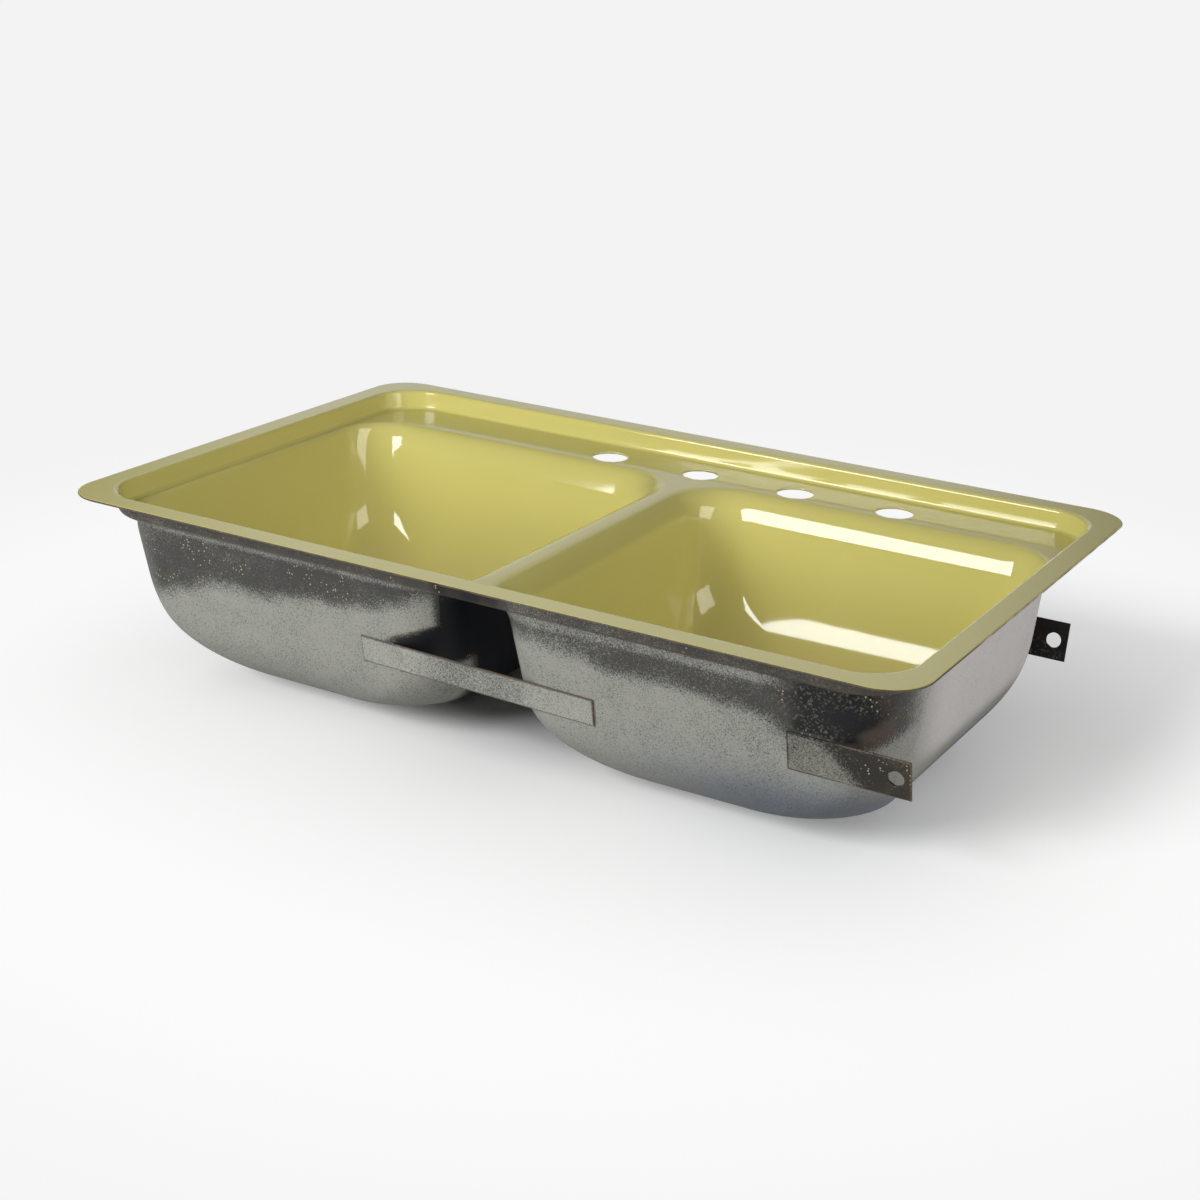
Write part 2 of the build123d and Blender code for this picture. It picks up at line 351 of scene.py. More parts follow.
def enamel_material():
    """Gloss enamel: an even colour with faint clouding and the slightest ripple, and painted light on the floors,
    warmer and brighter.
    """
    material, t, shader = new_material("yellow green enamel")
    place = t.nodes.new("ShaderNodeTexCoord").outputs["Object"]
    tone = t.nodes.new("ShaderNodeValToRGB")
    for stop, position, colour in zip(tone.color_ramp.elements, (0.3, 0.7), (GLAZE_THICK, GLAZE_THIN)):
        stop.position, stop.color = position, (*colour, 1)
    link(t, noise(t, place, GLAZE_CLOUD, 3.0), tone.inputs["Fac"])
    height = t.nodes.new("ShaderNodeSeparateXYZ")
    link(t, place, height.inputs[0])
    # painted light: the floors and drain dishes turn warmer and brighter, as if lit by light bounced round the
    # bowl
    floor_glow = ramp(t, height.outputs["Z"], FLOOR_GLOW_FROM, FLOOR_GLOW_FULL, 0.0, FLOOR_GLOW_SHARE)
    link(t, blend(t, floor_glow, tone.outputs["Color"], GLAZE_FLOOR_GLOW), shader.inputs["Base Color"])
    gloss = ramp(t, noise(t, place, GLAZE_PIN, 2.0), 0.3, 0.75, GLAZE_SMOOTH, GLAZE_PITTED, "LINEAR")
    link(t, gloss, shader.inputs["Roughness"])
    shader.inputs["IOR"].default_value = GLAZE_IOR
    bump(t, shader, noise(t, place, GLAZE_RIPPLE, 1.0), RIPPLE_BUMP, RIPPLE_HEIGHT)
    return material


def smooth(edge0, edge1, v):
    """Smooth ramp from 0 at edge0 to 1 at edge1."""
    s = np.clip((v - edge0) / (edge1 - edge0), 0, 1)
    return s * s * (3 - 2 * s)


# how far below the rim the full spray starts along the left bowl's front and along the right bowl's
LEFT_EDGE_X, LEFT_EDGE_BELOW = (-345, -265, -120, -40), (94, 70, 57, 33)
RIGHT_EDGE_X, RIGHT_EDGE_BELOW = (60, 150, 290), (45, 53, 58)
# spray levels: 1 hides the coat, and below 0 it is black
FULL_SPRAY, END_SPRAY, STREAK_SPRAY, BAND_SPRAY = 0.98, 1.15, 0.66, 0.13
# the gap's level is black: its bare coat, with painted shade laid over it
CORNER_SPRAY, GAP_BLACK_AND_SHADE, BACK_LOSS = -0.45, -0.90, 0.35
BAND_RIGHT, BAND_LEFT_END, BAND_MOTTLE = 0.22, 0.12, 0.10
STREAK_BELOW, STREAK_RIGHT_DROP = 17.5, 4.0
END_LEAN, FRONT_LEAN = 0.25, 0.222
# rust at the rim's edge, along the step's foot and round the bare gap and corner
EDGE_RUST, STEP_RUST, GAP_RUST, CORNER_RUST = 0.8, 0.25, 0.45, 0.35


def front_spray(x, below, wander):
    """Full spray under a slanting edge, a thin mottled band above it, and a streak along the step's foot."""
    right = smooth(-10, 10, x)
    top = STREAK_BELOW + STREAK_RIGHT_DROP * right
    streak = smooth(top, top + 2.5, below) * smooth(top + 14 + 3 * right, top + 7, below)
    edge = np.where(x < 0, np.interp(x, LEFT_EDGE_X, LEFT_EDGE_BELOW),
                    np.interp(x, RIGHT_EDGE_X, RIGHT_EDGE_BELOW))
    pale = smooth(edge - 12, edge + 13, below + wander)
    band = BAND_SPRAY + BAND_RIGHT * right * smooth(300, 60, x) + BAND_LEFT_END * smooth(-270, -340, x)
    band = band + BAND_MOTTLE * np.sin(x / 29) * np.sin(below / 11 + x / 47)
    return np.maximum(band + (FULL_SPRAY - band) * pale, STREAK_SPRAY * streak * smooth(320, 270, x))


def end_face(x, y, below, wander):
    """Share of the right-hand end's own spray, which starts just round the front corner."""
    along = smooth(-212, -120, y + 0.4 * (below - 60) + 2 * wander)
    return smooth(346, 370, x + END_LEAN * (below - 45) + wander) * along


def lug_corner(x, y, below, wander):
    """Share of the bare corner over the front lug, from the step's foot down."""
    across = smooth(262, 320, x + 4 * wander) * smooth(376, 350, x + END_LEAN * (below - 45) + 2 * wander)
    return across * smooth(-172, -194, y) * smooth(76, 66, below + wander) * smooth(17, 22, below)


def gap_bare_and_shade(x, y, below, wander):
    """Share of the gap between the bowls that is painted black: on their fronts the bare coat in the strap's
    spray shadow with painted shade over it, and painted shade on all that faces into the gap.
    """
    shade_x = -15 - 60 * smooth(48, 84, below) + 0.6 * wander
    front = smooth(shade_x - 12, shade_x + 9, x) * smooth(106, 97, below) * smooth(45, 30, x)
    behind = y - LIP_Y0 - FRONT_LEAN * (below - 43)
    inner = smooth(70, 58, np.abs(x)) * smooth(18, 30, behind)
    return np.maximum(front, inner * (1 - smooth(96, 106, below) * smooth(75, 50, behind)))


def coat_on(p):
    """Spray, stain and painted shade at each point, worked out in millimetres along the front and down from the
    rim.

    The grey was sprayed from in front and below and at the right-hand end. It misses the gap between the bowls,
    which is painted black, partly as painted shade, and the corner over the front lug, and is thinner at the
    back.
    Rust stains the rim's edge, the step's foot and the border of each bare place; painted shade, a darker blue,
    deepens downwards to the right and gives way to white at the end.
    """
    x, y, below = p[:, 0], p[:, 1], RIM_Z - p[:, 2]
    wander = 1.6 * np.sin(x / 19 + y / 23) + 1.1 * np.sin(x / 7.3 - below / 7) + 1.1 * np.sin(y / 9 + below / 5)
    end = end_face(x, y, below, wander)
    corner = lug_corner(x, y, below, wander)
    gap_and_shade = gap_bare_and_shade(x, y, below, wander)
    cover = np.maximum(front_spray(x, below, wander), END_SPRAY * end)
    cover = cover * (1 - corner) + CORNER_SPRAY * corner
    # painted shade: the gap between the bowls and all that faces into it go black
    cover = cover * (1 - gap_and_shade) + GAP_BLACK_AND_SHADE * gap_and_shade
    back = smooth(-40, 60, y) * (1 - end) * (1 - gap_and_shade)
    cover = cover * (1 - BACK_LOSS * back)
    rim_edge = smooth(0.2, 0.6, below) * smooth(2.6, 2.0, below)
    step_foot = smooth(12, 19, below) * smooth(26, 20, below)
    gap_border = smooth(0.04, 0.30, gap_and_shade) * smooth(0.96, 0.60, gap_and_shade)
    gap_border = gap_border * smooth(64, 80, below) * smooth(104, 98, below)
    corner_border = smooth(0.04, 0.35, corner) * smooth(0.96, 0.55, corner) * smooth(320, 345, x)
    stain = STEP_RUST * step_foot + EDGE_RUST * rim_edge + GAP_RUST * gap_border + CORNER_RUST * corner_border
    stain = np.clip(stain, 0, 1)
    # painted shade: darker and bluer downwards and towards the right
    low_shade = smooth(80, 150, below) * (0.04 + 0.96 * smooth(60, 320, x))
    white = smooth(335, 372, x) * (0.15 * smooth(-205, -190, y) + 0.85 * smooth(-190, -70, y))
    white = white * smooth(150, 90, below)
    return np.stack((cover, stain, low_shade * (1 - white) - white), 1)


enamel = enamel_material()
ground = ground_coat("sprayed ground coat with painted shade", dark=(0.038, 0.036, 0.032), pale=(0.258, 0.256, 0.224), feather=0.46)

bottom = np.sin(np.linspace(0, np.pi / 2, BOTTOM_ROWS))
inside_h = np.concatenate((np.linspace(SEAM_DEPTH, FLOOR_DEPTH - RISE_IN, WALL_ROWS_IN)[:-1],
                           FLOOR_DEPTH - RISE_IN + RISE_IN * bottom))
outside_h = np.concatenate((np.linspace(SEAM_DEPTH, FLOOR_DEPTH - RISE_OUT, WALL_ROWS_OUT)[:-1],
                            FLOOR_DEPTH - RISE_OUT + (RISE_OUT + SHEET) * bottom))
inside = bowl_rings(inside_h, 0.0)
outside = bowl_rings(outside_h, SHEET)
top_rows = np.concatenate((inside, drain_rings(inside[-1], DISH)))
low_rows = np.concatenate((drain_rings(outside[-1], UNDER_DISH), outside[::-1]))
bowl = np.concatenate((top_rows, low_rows))
rows, around = bowl.shape[:2]
bowl_faces = ring_faces(rows, around, True).tolist()
bowl_slots = np.repeat(np.arange(rows) >= len(top_rows) - 1, around)
right = bowl.reshape(-1, 3)
left = right * (-1, 1, 1)
for name, node, points in (("bowl_right", "right_bowl", right), ("bowl_left", "left_bowl", left)):
    piece = add_piece(name, points, bowl_faces, bowl_slots, (enamel, ground), coat_on(points))
    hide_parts(node)

# Deck. One steel pressing: a flat rim with a rounded edge, a step down to the tap ledge,
# four punched tap holes and the two turned-down lips that the bowls are welded to.
RIM_X, RIM_Y, RIM_CORNER_R = 406.4, 254.0, 38.1
RIM_ARC, RIM_SIDE = 26, 24
STEP_INSET, STEP_DRAFT, STEP_CORNER_R = 22.6, 6.0, 46.0
ROLL_R, COVE_R, TURN_ROWS = 3.4, 3.6, 11
EDGE_ROWS, EDGE_ROWS_BARE = 9, 6
LIP_ROWS_IN, LIP_ROWS_OUT = 30, 16
TAP_X, TAP_Y, TAP_R = (-101.6, 0.0, 101.6, 203.2), 190.5, 17.46
# a tap hole's edge from top to bottom: how far it opens out and how deep it is
TAP_OPENS = (0.9, 0.45, 0.15, 0, 0, 0.3, 0.8)
TAP_DEPTH = (0, 0.1, 0.4, 0.9, 1.5, 1.95, SHEET)
TAP_ROWS_GLAZED = 4
HOLE_TURN = np.linspace(0, 2 * np.pi, 64, endpoint=False)


def rim_rings(profile):
    """Profile of (distance in from the rim's edge, depth below the rim) carried round the rim."""
    i, h = np.array(profile).T
    r = RIM_CORNER_R + (STEP_CORNER_R - RIM_CORNER_R) * np.clip(i / STEP_INSET, 0, 1)
    return at_heights(rounded_ring(i - RIM_X, RIM_X - i, i - RIM_Y, RIM_Y - i, r, RIM_ARC, RIM_SIDE), RIM_Z - h)


def step_profile(skin):
    """Roll, drafted wall and cove of the step, from the rim's flat to the deck, skin under the surface."""
    half = np.tan(np.radians(90 - STEP_DRAFT) / 2)
    flat_end = STEP_INSET - ROLL_R * half
    cove_end = STEP_INSET + DECK_DROP * np.tan(np.radians(STEP_DRAFT)) + COVE_R * half
    turn = np.radians(np.linspace(0, 90 - STEP_DRAFT, TURN_ROWS))
    roll = np.stack((flat_end + (ROLL_R - skin) * np.sin(turn), ROLL_R - (ROLL_R - skin) * np.cos(turn)), 1)
    back = turn[::-1]
    cove = np.stack((cove_end - (COVE_R + skin) * np.sin(back),
                     DECK_DROP - COVE_R + (COVE_R + skin) * np.cos(back)), 1)
    return np.concatenate((roll, cove))


def rounded_gap(xy, cx, cy, half_x, half_y, r):
    """Signed distance outside a rounded rectangle."""
    q = np.abs(xy - (cx, cy)) - (half_x - r, half_y - r)
    return np.linalg.norm(np.maximum(q, 0), axis=1) + np.minimum(q.max(1), 0) - r


def flat_fill(rings, keep, inner=np.zeros((0, 2))):
    """Triangles of a level sheet between closed rings, with points inside, kept where their middles pass."""
    sizes = np.array([len(r) for r in rings])
    first = np.repeat(np.cumsum(sizes) - sizes, sizes)
    here = np.arange(sizes.sum())
    edges = np.stack((here, first + (here - first + 1) % np.repeat(sizes, sizes)), 1)
    dots = np.concatenate([r[:, :2] for r in rings] + [inner])
    found = delaunay_2d_cdt(dots.tolist(), edges.tolist(), [], 1, MERGE_WITHIN)
    xy, triangles = np.array(found[0]), np.array(found[2])
    return xy, triangles[keep(xy[triangles].mean(1))]


def deck_area(middle):
    """Outside both bowls and clear of the tap holes."""
    cx, half_x = (LIP_X0 + LIP_X1) / 2, (LIP_X1 - LIP_X0) / 2
    cy, half_y = (LIP_Y0 + LIP_Y1) / 2, (LIP_Y1 - LIP_Y0) / 2
    ok = rounded_gap(middle, cx, cy, half_x, half_y, LIP_CORNER_R) > 0
    ok &= rounded_gap(middle, -cx, cy, half_x, half_y, LIP_CORNER_R) > 0
    for x in TAP_X:
        ok &= np.hypot(middle[:, 0] - x, middle[:, 1] - TAP_Y) > TAP_R
    return ok


def joined(patches):
    """Patches of points, faces and material slots put end to end as one mesh."""
    points, faces, slots = zip(*patches)
    starts = np.cumsum([0] + [len(p) for p in points])
    faces = [(f + start).tolist() for f, start in zip(faces, starts)]
    slots = [np.broadcast_to(s, len(f)) for s, f in zip(slots, faces)]
    return np.concatenate(points), sum(faces, []), np.concatenate(slots)


def ring_patch(rows, slot):
    """Patch of open rings, with one material slot for each row of faces."""
    return rows.reshape(-1, 3), ring_faces(*rows.shape[:2], False), np.repeat(slot, rows.shape[1])


edge = np.radians(np.linspace(90, -90, EDGE_ROWS))
rim_edge = np.stack((SHEET / 2 - SHEET / 2 * np.cos(edge), SHEET / 2 + SHEET / 2 * np.sin(edge)), 1)
under_step, over_step = step_profile(SHEET)[::-1], step_profile(0.0)
rim_rows = rim_rings(np.concatenate((under_step, rim_edge, over_step)))
rim_slot = np.arange(len(rim_rows) - 1) < len(under_step) + EDGE_ROWS_BARE

lip_in = SEAM_DEPTH * (np.arange(LIP_ROWS_IN + 1) / LIP_ROWS_IN) ** 2
lip_out = SHEET + (SEAM_DEPTH - SHEET) * (np.arange(LIP_ROWS_OUT + 1) / LIP_ROWS_OUT) ** 2
lip_rows = np.concatenate((bowl_rings(lip_in, 0.0), bowl_rings(lip_out, SHEET)[::-1]))
left_lip_rows = lip_rows * (-1, 1, 1)
lip_slot = np.arange(len(lip_rows) - 1) >= LIP_ROWS_IN

hole_r = TAP_R + np.reshape(TAP_OPENS, (-1, 1))
hole_z = DECK_Z - np.reshape(TAP_DEPTH, (-1, 1))
hole_rows = [np.stack(np.broadcast_arrays(x + hole_r * np.cos(HOLE_TURN),
                                          TAP_Y + hole_r * np.sin(HOLE_TURN), hole_z), -1) for x in TAP_X]
hole_slot = np.arange(len(TAP_DEPTH) - 1) >= TAP_ROWS_GLAZED

patches = [ring_patch(rim_rows, rim_slot), ring_patch(lip_rows, lip_slot), ring_patch(left_lip_rows, lip_slot)]
patches += [ring_patch(rows, hole_slot) for rows in hole_rows]
for row, rim_row, z, slot in ((0, rim_rows[-1], DECK_Z, 0), (-1, rim_rows[0], DECK_Z - SHEET, 1)):
    rings = [rim_row, lip_rows[row], left_lip_rows[row]] + [rows[row] for rows in hole_rows]
    xy, triangles = flat_fill(rings, deck_area)
    patches.append((np.column_stack((xy, np.full(len(xy), z))), triangles, slot))
points, faces, slots = joined(patches)
deck = add_piece("deck_pressing", points, faces, slots, (enamel, ground), coat_on(points))
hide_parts("deck")

# Strap. A flat steel bar spot-welded to both front walls before enamelling, so the bowls
# can't spread; it took the same grey spray, with dark pits and stained, worn edges.
STRAP_LENGTH, STRAP_WIDTH, STRAP_THICK = 228.6, 25.4, 1.9
STRAP_X, STRAP_Z, STRAP_TILT = 6.0, RIM_Z - 96.5, math.radians(1.2)
STRAP_SPRAY, PIT_LOSS, WEAR_LOSS, WEAR_STAIN = 0.92, 0.34, 0.55, 0.8
PITS_X, PITS_FROM, PITS_FULL = 4, 75, 20
SEAM_Z = DECK_Z - SEAM_DEPTH
FRONT_Y, FRONT_DRAFT = -218.7, math.radians(12.5)
SEAT_FILM = 0.1
PLATE_LONG, PLATE_HIGH = 60, 14
PLATE_BEVEL, PLATE_LINE, PLATE_MARGIN, HOLE_ROOM = 0.35, 1.6, 3.0, 1.02
WEAR_FROM, WEAR_FULL = 1.5, 0.5


def plate(length, width, thick, hole, out):
    """Flat bar in its own frame, back face at y = 0: two flat sides with rounded-over edges and an optional hole.

    The sides are filled on a grid, with a line of points just inside the edges to hold their wear.
    """
    size = np.array((length, width))
    x = np.linspace(-length / 2, length / 2, PLATE_LONG)
    z = np.linspace(-width / 2, width / 2, PLATE_HIGH)
    foot, head = [np.column_stack((x, np.full(len(x), side * width / 2))) for side in (-1, 1)]
    left, right = [np.column_stack((np.full(len(z), side * length / 2), z)) for side in (-1, 1)]
    loop = np.concatenate((foot, right[1:], head[::-1][1:], left[::-1][1:-1]))
    inset = loop * (1 - 2 * PLATE_BEVEL / size)
    depths = (0.0, PLATE_BEVEL, thick - PLATE_BEVEL, thick)

    def upright(xz, y):
        """Points of the plate's plane stood up at a depth."""
        return np.column_stack((xz[:, 0], np.full(len(xz), out * y), xz[:, 1]))

    def clear(xz):
        """True outside the hole."""
        if hole is None:
            return np.ones(len(xz), bool)
        return np.hypot(xz[:, 0] - hole[0], xz[:, 1]) > hole[1]

    walls, rings = [(inset, loop, loop, inset)], [inset]
    if hole is not None:
        small, big = [np.column_stack((hole[0] + r * np.cos(HOLE_TURN), r * np.sin(HOLE_TURN)))
                      for r in (hole[1], hole[1] + PLATE_BEVEL)]
        walls.append((big, small, small, big))
        rings.append(big)
    patches = [ring_patch(np.stack([upright(*pair) for pair in zip(wall, depths)]), (0, 0, 0)) for wall in walls]
    line = loop * (1 - 2 * PLATE_LINE / size)
    grid = np.stack(np.meshgrid(x[1:-1], z[1:-1]), -1).reshape(-1, 2) * (1 - 2 * PLATE_MARGIN / size)
    xz, triangles = flat_fill(rings, clear, np.concatenate((line, grid[clear(grid / HOLE_ROOM)])))
    patches += [(upright(xz, y), triangles, 0) for y in (0.0, thick)]
    return joined(patches)


def on_wall(local, place, draft, tilt=0.0):
    """Points of a plate carried on to a drafted wall: turned in its plane, leaned, then moved."""
    c, s = math.cos(tilt), math.sin(tilt)
    turn = np.array(((c, 0, s), (0, 1, 0), (-s, 0, c)))
    c, s = math.cos(draft), math.sin(draft)
    lean = np.array(((1, 0, 0), (0, c, -s), (0, s, c)))
    return local @ (lean @ turn).T + place


def front_y(z):
    """Outside of the front walls at height z."""
    return FRONT_Y + (SEAM_Z - z) * math.tan(FRONT_DRAFT)


def edge_wear(local, length, width):
    """Wear of a plate, full at its edges and none a little way in."""
    inwards = np.minimum(length / 2 - np.abs(local[:, 0]), width / 2 - np.abs(local[:, 2]))
    return smooth(WEAR_FROM, WEAR_FULL, inwards)


local, faces, slots = plate(STRAP_LENGTH, STRAP_WIDTH, STRAP_THICK, None, -1)
worn = edge_wear(local, STRAP_LENGTH, STRAP_WIDTH)
pitted = smooth(PITS_FROM, PITS_FULL, np.abs(local[:, 0] - PITS_X))
strap_spray = np.column_stack((STRAP_SPRAY - PIT_LOSS * pitted - WEAR_LOSS * worn, WEAR_STAIN * worn,
                               np.zeros(len(local))))
strap_points = on_wall(local + (0, -SEAT_FILM, 0), (STRAP_X, front_y(STRAP_Z), STRAP_Z), FRONT_DRAFT, STRAP_TILT)
strap_coat = ground_coat("strap coat", dark=(0.060, 0.059, 0.052), pale=(0.300, 0.297, 0.262), feather=0.42)
strap = add_piece("tie_strap", strap_points, faces, slots, (strap_coat,), strap_spray)
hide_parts("front_strap")

# Lugs. Two punched steel plates spot-welded to the right bowl, front and rear, their free
# ends standing clear past the rounded corner; the sink hung by them while it was fired.
LUG_LENGTH, LUG_WIDTH, LUG_THICK = 101.6, 34.5, 1.9
LUG_HOLE_FROM_END, LUG_HOLE_R = 12.5, 6.75
FRONT_LUG_END_X, FRONT_LUG_Z = 394.0, RIM_Z - 85.0
REAR_LUG_END_X, REAR_LUG_Z = 391.5, RIM_Z - 91.0
REAR_Y, REAR_DRAFT = 154.1, math.radians(10.5)
LUG_SPRAY, LUG_BARE, LUG_WEAR, LUG_RUST = 0.86, -0.10, 0.5, 0.16
REAR_LUG_COAT = (-0.35, 0.06, 0.0)

lug_hole = (LUG_LENGTH / 2 - LUG_HOLE_FROM_END, LUG_HOLE_R)
lug_coat = ground_coat("lug coat", dark=(0.014, 0.013, 0.010), pale=(0.190, 0.185, 0.158), feather=0.5)
local, faces, slots = plate(LUG_LENGTH, LUG_WIDTH, LUG_THICK, lug_hole, -1)
worn = edge_wear(local, LUG_LENGTH, LUG_WIDTH)
fade = LUG_SPRAY * smooth(8, -16, local[:, 0] + 0.9 * local[:, 2]) + LUG_BARE
welded = smooth(0, -30, local[:, 0])
rusty = LUG_RUST * smooth(10, 40, local[:, 0])
lug_spray = np.column_stack((np.maximum(fade, LUG_WEAR * worn) - welded * worn,
                             np.maximum(rusty, LUG_WEAR * worn), np.zeros(len(local))))
place = (FRONT_LUG_END_X - LUG_LENGTH / 2, front_y(FRONT_LUG_Z), FRONT_LUG_Z)
lug_points = on_wall(local + (0, -SEAT_FILM, 0), place, FRONT_DRAFT)
lug = add_piece("lug_front", lug_points, faces, slots, (lug_coat,), lug_spray)
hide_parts("front_lug")

local, faces, slots = plate(LUG_LENGTH, LUG_WIDTH, LUG_THICK, lug_hole, 1)
rear_y = REAR_Y - (SEAM_Z - REAR_LUG_Z) * math.tan(REAR_DRAFT)
place = (REAR_LUG_END_X - LUG_LENGTH / 2, rear_y, REAR_LUG_Z)
lug_points = on_wall(local + (0, SEAT_FILM, 0), place, -REAR_DRAFT)
lug_spray = np.full((len(local), 3), REAR_LUG_COAT)
lug = add_piece("lug_rear", lug_points, faces, slots, (lug_coat,), lug_spray)
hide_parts("rear_lug")

# Studio. A white paper sweep, a tall soft box in front on the left with a low one at its foot,
# a weaker one at the right-hand end, and pale walls that are brightest behind the object on the left.
BACK, DIM_WALL, LIFT = 0.896, 0.12, 0.22
FLOOR_HALF = 40
PAPER, PAPER_BOUNCED = (0.90, 0.90, 0.90), (0.60, 0.60, 0.62)
# where the paper's own light is left out under the sink: a painted contact shadow
PAINTED_SHADOW_SCALE = (2.8, 5.0, 0)
SHADOW_LIFT_FROM, SHADOW_LIFT_FULL = 0.45, 0.92
PLAIN_FROM, PLAIN_FULL = 0.45, 1.0


def seen_directly(tree):
    """1 for rays from the camera, off a gloss surface or through a clear one, otherwise 0."""
    path = tree.nodes.new("ShaderNodeLightPath").outputs
    seen = math_node(tree, "MAXIMUM", path["Is Camera Ray"], path["Is Glossy Ray"])
    return math_node(tree, "MAXIMUM", seen, path["Is Transmission Ray"])


def distance(tree, place):
    """Length of a vector socket."""
    node = tree.nodes.new("ShaderNodeVectorMath")
    node.operation = "LENGTH"
    link(tree, place, node.inputs[0])
    return node.outputs["Value"]


def sweep_material():
    """White paper: lit and shadowed near the object, fading to its own plain tone further out.

    A little light of its own lifts it all round, but is left out under the sink as a painted contact shadow.
    """
    material, t, paper = new_material("white sweep")
    bounced = t.nodes.new("ShaderNodeLightPath").outputs["Is Diffuse Ray"]
    link(t, blend(t, bounced, PAPER, PAPER_BOUNCED), paper.inputs["Base Color"])
    paper.inputs["Roughness"].default_value = 0.9
    paper.inputs["Specular IOR Level"].default_value = 0.0
    glow, lift = [t.nodes.new("ShaderNodeEmission") for _ in range(2)]
    glow.inputs["Color"].default_value = (BACK, BACK, BACK, 1)
    lift.inputs["Color"].default_value = (LIFT, LIFT, LIFT, 1)
    direct = seen_directly(t)
    place = t.nodes.new("ShaderNodeTexCoord").outputs["Object"]
    shadow_place = t.nodes.new("ShaderNodeMapping")
    shadow_place.inputs["Scale"].default_value = PAINTED_SHADOW_SCALE
    link(t, place, shadow_place.inputs["Vector"])
    # painted shadow: no lift under the sink
    outside_painted_shadow = ramp(t, distance(t, shadow_place.outputs["Vector"]), SHADOW_LIFT_FROM, SHADOW_LIFT_FULL)
    link(t, math_node(t, "MULTIPLY", direct, outside_painted_shadow), lift.inputs["Strength"])
    lit = t.nodes.new("ShaderNodeAddShader")
    link(t, paper.outputs[0], lit.inputs[0])
    link(t, lift.outputs[0], lit.inputs[1])
    far = ramp(t, distance(t, place), PLAIN_FROM, PLAIN_FULL)
    mix = t.nodes.new("ShaderNodeMixShader")
    link(t, math_node(t, "MULTIPLY", direct, far), mix.inputs["Fac"])
    link(t, lit.outputs[0], mix.inputs[1])
    link(t, glow.outputs[0], mix.inputs[2])
    link(t, mix.outputs[0], t.nodes["Material Output"].inputs["Surface"])
    return material


mesh = bpy.data.meshes.new("sweep")
corners = np.array(((-1, -1, 0), (1, -1, 0), (1, 1, 0), (-1, 1, 0))) * FLOOR_HALF
mesh.from_pydata(corners.tolist(), [], [(0, 1, 2, 3)])
mesh.materials.append(sweep_material())
floor = bpy.data.objects.new("sweep", mesh)
bpy.context.scene.collection.objects.link(floor)

world = bpy.data.worlds.new("studio")
bpy.context.scene.world = world
world.use_nodes = True
room = world.node_tree
sky = room.nodes["Background"]
sky.inputs["Color"].default_value = (1, 1, 1, 1)
heading = room.nodes.new("ShaderNodeTexCoord").outputs["Generated"]
REAR_LEFT, ACROSS_IT, UP = (-0.5, 0.866, 0.0), (0.866, 0.5, 0.0), (0.0, 0.0, 1.0)
BRIGHT_EDGE, BRIGHT_CORE, BRIGHT_LOW, BRIGHT_HIGH, HIGH_SHARE = 0.30, 0.13, 0.35, 0.80, 0.4
REAR_FILL, FILL_LOW, FILL_HIGH = (-0.60, 0.66, 0.45), 0.02, 0.10


def along(direction):
    """How far a ray's heading points along a direction."""
    node = room.nodes.new("ShaderNodeVectorMath")
    node.operation = "DOT_PRODUCT"
    node.inputs[1].default_value = direction
    link(room, heading, node.inputs[0])
    return node.outputs["Value"]


def pick(share, a, b):
    """Value a turning into b as the share rises."""
    node = room.nodes.new("ShaderNodeMix")
    for socket, value in (("Factor", share), ("A", a), ("B", b)):
        if isinstance(value, float):
            node.inputs[socket].default_value = value
        else:
            link(room, value, node.inputs[socket])
    return node.outputs["Result"]


behind = math_node(room, "GREATER_THAN", along(REAR_LEFT), 0.0)
width = ramp(room, math_node(room, "ABSOLUTE", along(ACROSS_IT), 0.0), BRIGHT_EDGE, BRIGHT_CORE)
height = ramp(room, along(UP), BRIGHT_LOW, BRIGHT_HIGH, 1.0, HIGH_SHARE)
bright = math_node(room, "MULTIPLY", math_node(room, "MULTIPLY", behind, width), height)
mirrored = math_node(room, "MULTIPLY_ADD", bright, BACK - DIM_WALL, DIM_WALL)
rear_fill = ramp(room, along(REAR_FILL), -0.3, 1.0, FILL_LOW, FILL_HIGH)
around_it = pick(seen_directly(room), rear_fill, mirrored)
camera_ray = room.nodes.new("ShaderNodeLightPath").outputs["Is Camera Ray"]
link(room, pick(camera_ray, around_it, BACK), sky.inputs["Strength"])

COOL_WHITE, WARM_WHITE = (0.97, 1.0, 1.02), (1.0, 0.98, 0.92)
BOX_AIM = (0.05, 0, 0.1)
SINK = [o for o in bpy.context.scene.objects if o.type == "MESH" and o is not floor and not o.hide_render]


def stand(thing, side, up, back, place):
    """Put a lamp or the camera at a place, turned to three axes."""
    thing.matrix_world = Matrix([[side[k], up[k], back[k], place[k]] for k in range(3)] + [[0, 0, 0, 1]])
    bpy.context.scene.collection.objects.link(thing)


def shines_on(lamp, pieces):
    """Keep a lamp's light to these pieces; everything still throws a shadow in it."""
    group = bpy.data.collections.new(lamp.name)
    for piece in pieces:
        group.objects.link(piece)
    lamp.light_linking.receiver_collection = group


def face(lamp, place, aim):
    """Stand a lamp upright at a place and turn it to a point."""
    back = np.array(place, float) - aim
    back /= np.linalg.norm(back)
    side = np.cross((0, 0, 1), back)
    side /= np.linalg.norm(side)
    stand(lamp, side, np.cross(back, side), back, place)


def soft_box(name, place, width, height, power, tint, lights_walls):
    """Rectangular soft light on the sink, or one that shows only as a reflection in the glaze."""
    light = bpy.data.lights.new(name, "AREA")
    light.shape = "RECTANGLE"
    light.size, light.size_y, light.energy, light.color = width, height, power, tint
    lamp = bpy.data.objects.new(name, light)
    lamp.visible_diffuse = lights_walls
    face(lamp, place, BOX_AIM)
    shines_on(lamp, SINK)


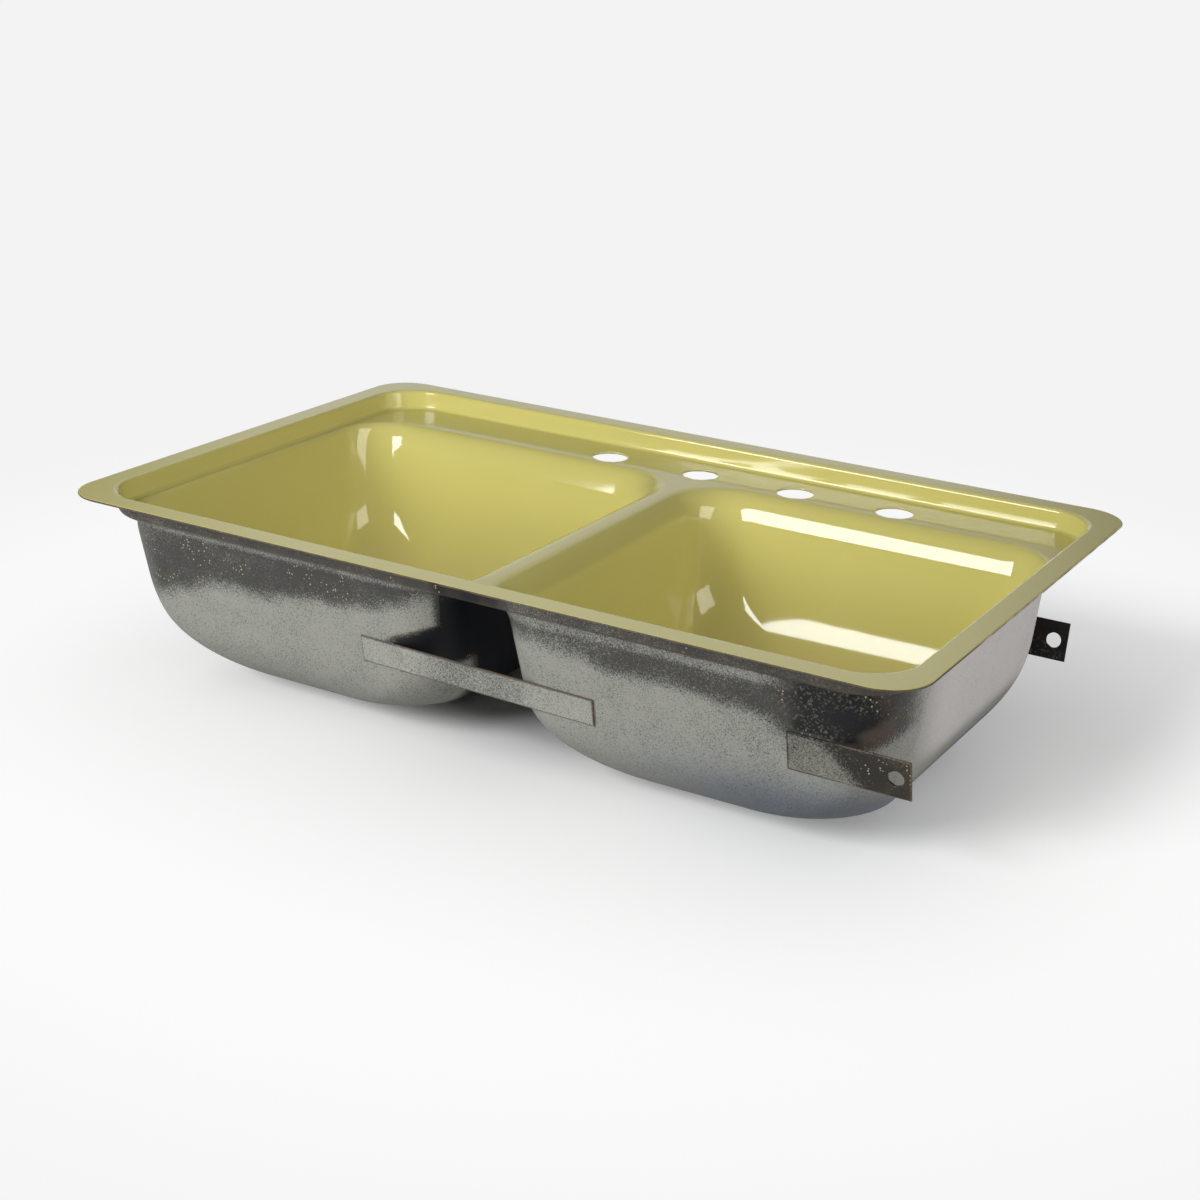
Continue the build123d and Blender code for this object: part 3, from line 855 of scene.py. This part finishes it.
def even_light(name, place, spread, level, pieces):
    """Broad light that doesn't fall off: a lamp on the paper, or a pale wall's bounce on the sink."""
    light = bpy.data.lights.new(name, "SUN")
    light.angle, light.energy = math.radians(spread), level
    lamp = bpy.data.objects.new(name, light)
    lamp.visible_glossy = False
    face(lamp, place, (0, 0, 0))
    shines_on(lamp, pieces)
    return lamp


soft_box("left front box", (-0.78, -2.10, 1.08), width=1.05, height=1.20, power=56, tint=COOL_WHITE,
         lights_walls=True)
soft_box("left front box foot", (-0.80, -2.22, 0.32), width=1.05, height=0.42, power=19.6, tint=COOL_WHITE,
         lights_walls=False)
soft_box("right end box", (1.72, -0.18, 0.88), width=1.00, height=1.50, power=22, tint=WARM_WHITE,
         lights_walls=False)
open_floor = bpy.data.collections.new("floor alone throws a shadow")
open_floor.objects.link(floor)
for bounce in (even_light("right wall bounce", (0.957, -0.252, 0.16), spread=60, level=2.1, pieces=SINK),
               even_light("front bounce", (-0.25, -0.95, 0.18), spread=40, level=0.65, pieces=SINK),
               even_light("rear wall bounce", (-0.45, 0.89, 0.20), spread=80, level=0.6, pieces=SINK)):
    bounce.light_linking.blocker_collection = open_floor
even_light("paper key", (-0.78, -2.10, 1.30), spread=24, level=2.2, pieces=[floor])
even_light("paper wash", (-0.05, 0.02, 2.0), spread=150, level=1.4, pieces=[floor])

# Camera. It stands in front on the right and looks down at a point on the rim's plane, with a
# slight roll and a long lens on a square frame.
CAMERA_TURN, CAMERA_RISE, CAMERA_ROLL = math.radians(30.153), math.radians(20.324), math.radians(1.845)
CAMERA_AIM, CAMERA_AWAY = np.array((0.125448, -0.211821, RIM_Z * MM)), 1.607851
LENS_LENGTH, LENS_FRAME = 61.879, 36.0

level = math.cos(CAMERA_RISE)
back = np.array((math.sin(CAMERA_TURN) * level, -math.cos(CAMERA_TURN) * level, math.sin(CAMERA_RISE)))
side = np.cross(-back, (0, 0, 1))
side /= np.linalg.norm(side)
up = np.cross(side, -back)
c, s = math.cos(CAMERA_ROLL), math.sin(CAMERA_ROLL)
lens = bpy.data.cameras.new("camera")
lens.sensor_width = LENS_FRAME
lens.sensor_fit = "HORIZONTAL"
lens.lens = LENS_LENGTH
camera = bpy.data.objects.new("camera", lens)
stand(camera, side * c + up * s, up * c - side * s, back, CAMERA_AIM + back * CAMERA_AWAY)
bpy.context.scene.camera = camera
bpy.context.scene.view_settings.view_transform = "Standard"
